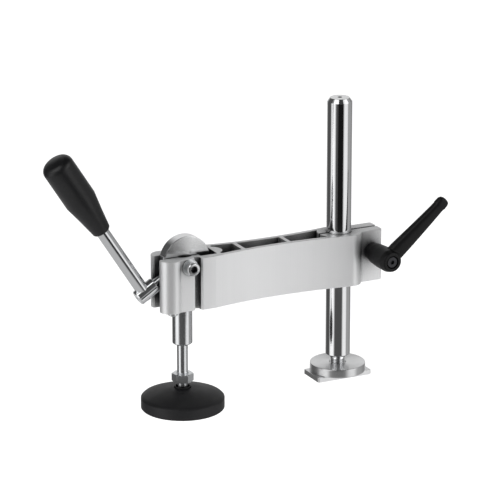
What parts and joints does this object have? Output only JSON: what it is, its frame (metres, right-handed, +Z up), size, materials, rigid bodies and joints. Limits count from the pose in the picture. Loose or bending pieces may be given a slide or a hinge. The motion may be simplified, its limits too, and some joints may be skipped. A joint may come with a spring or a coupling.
{
  "type": "eccentric hold-down clamp",
  "caption": "Lever-operated eccentric hold-down clamp: a round column with a slot key and flange carries a sliding arm, a cam disc, a plunger and a swivelling pad.",
  "frame": {"origin": "the centre of the pad's flat rubber face, the point that presses on the workpiece, with every joint at rest", "axes": "+Z up along the plunger and the column; the column stands 172.65 mm away along +X, and its flange stands on the table at z = 12.4 mm; the pivot and the clamping screw lie along Y, with the clamping lever on the -Y side"},
  "size_m": [0.4062, 0.1024, 0.296],
  "materials": {
    "aluminium": "satin anodised extrusion",
    "chrome": "polished hard chrome",
    "turned_steel": "turned",
    "zinc": "zinc plated",
    "spring_steel": "drawn wire",
    "bronze": "turned bearing bronze",
    "black_plastic": "fine moulded grain",
    "black_rubber": "matt",
    "black_coat": "black powder coat, fine texture"
  },
  "bodies": {
    "base": {"t_slot_key": "turned_steel"},
    "flange": {"base_flange": "turned_steel"},
    "column": {"column": "chrome"},
    "arm": {"arm": "aluminium", "nose_screw": "zinc", "pivot_screw": "zinc", "pivot_washer_front": "zinc", "pivot_washer_back": "zinc", "pivot_nut": "zinc", "pivot_bush": "bronze", "spring_seat_ring": "spring_steel", "return_spring": "spring_steel", "clamp_washer_front": "zinc", "clamp_washer_back": "zinc", "clamp_nut": "zinc"},
    "eccentric": {"eccentric_disc": "chrome", "lever_neck": "turned_steel", "lever_knuckle": "chrome", "knuckle_set_screw": "zinc", "lever_rod": "chrome", "lever_grip": "black_plastic"},
    "plunger": {"plunger_sleeve": "chrome", "pressure_button": "turned_steel", "guide_bush": "bronze", "pressure_spring": "spring_steel"},
    "spindle": {"spindle": "chrome"},
    "lock_nut": {"lock_nut": "zinc"},
    "pad": {"pad_plate": "black_plastic", "pad_cup": "black_plastic", "pad_facing": "black_rubber"},
    "clamp_lever": {"clamp_insert": "zinc", "clamp_retaining_screw": "zinc"},
    "clamp_handle": {"clamp_handle": "black_coat", "clamp_spring": "spring_steel"}
  },
  "joints": [
    {"name": "flange_lift", "type": "slide", "parent": "base", "child": "flange", "axis": [0, 0, 1], "range_m": [0, 0.0083]},
    {"name": "column_turn", "type": "hinge", "parent": "base", "child": "column", "pos_m": [0.17265, 0, 0], "axis": [0, 0, 1], "continuous": true},
    {"name": "arm_height", "type": "slide", "parent": "column", "child": "arm", "axis": [0, 0, 1], "range_m": [-0.07, 0.13]},
    {"name": "lever_swing", "type": "hinge", "parent": "arm", "child": "eccentric", "pos_m": [0, 0, 0.1506], "axis": [0, 1, 0], "range_deg": [0, 90]},
    {"name": "plunger_stroke", "type": "slide", "parent": "arm", "child": "plunger", "axis": [0, 0, -1], "range_m": [0, 0.006], "deforming": ["return_spring"]},
    {"name": "spindle_spring", "type": "slide", "parent": "plunger", "child": "spindle", "axis": [0, 0, 1], "range_m": [0, 0.012], "stiffness_N_per_m": 8000, "springref_m": -0.005, "deforming": ["pressure_spring"]},
    {"name": "nut_turn", "type": "hinge", "parent": "spindle", "child": "lock_nut", "pos_m": [0, 0, 0.0324], "axis": [0, 0, 1], "continuous": true},
    {"name": "pad_tilt", "type": "hinge", "parent": "spindle", "child": "pad", "pos_m": [0, 0, 0.0149], "axis": [0, 1, 0], "range_deg": [-8, 8]},
    {"name": "clamp_turn", "type": "hinge", "parent": "arm", "child": "clamp_lever", "pos_m": [0.20345, 0, 0.1369], "axis": [0, 1, 0], "range_deg": [-90, 60]},
    {"name": "handle_lift", "type": "slide", "parent": "clamp_lever", "child": "clamp_handle", "axis": [0, -1, 0], "range_m": [0, 0.004], "stiffness_N_per_m": 600, "springref_m": -0.003}
  ],
  "couplings": [
    {"joint": "plunger_stroke", "follows": "lever_swing", "m_per_rad": 0.0037815}
  ]
}
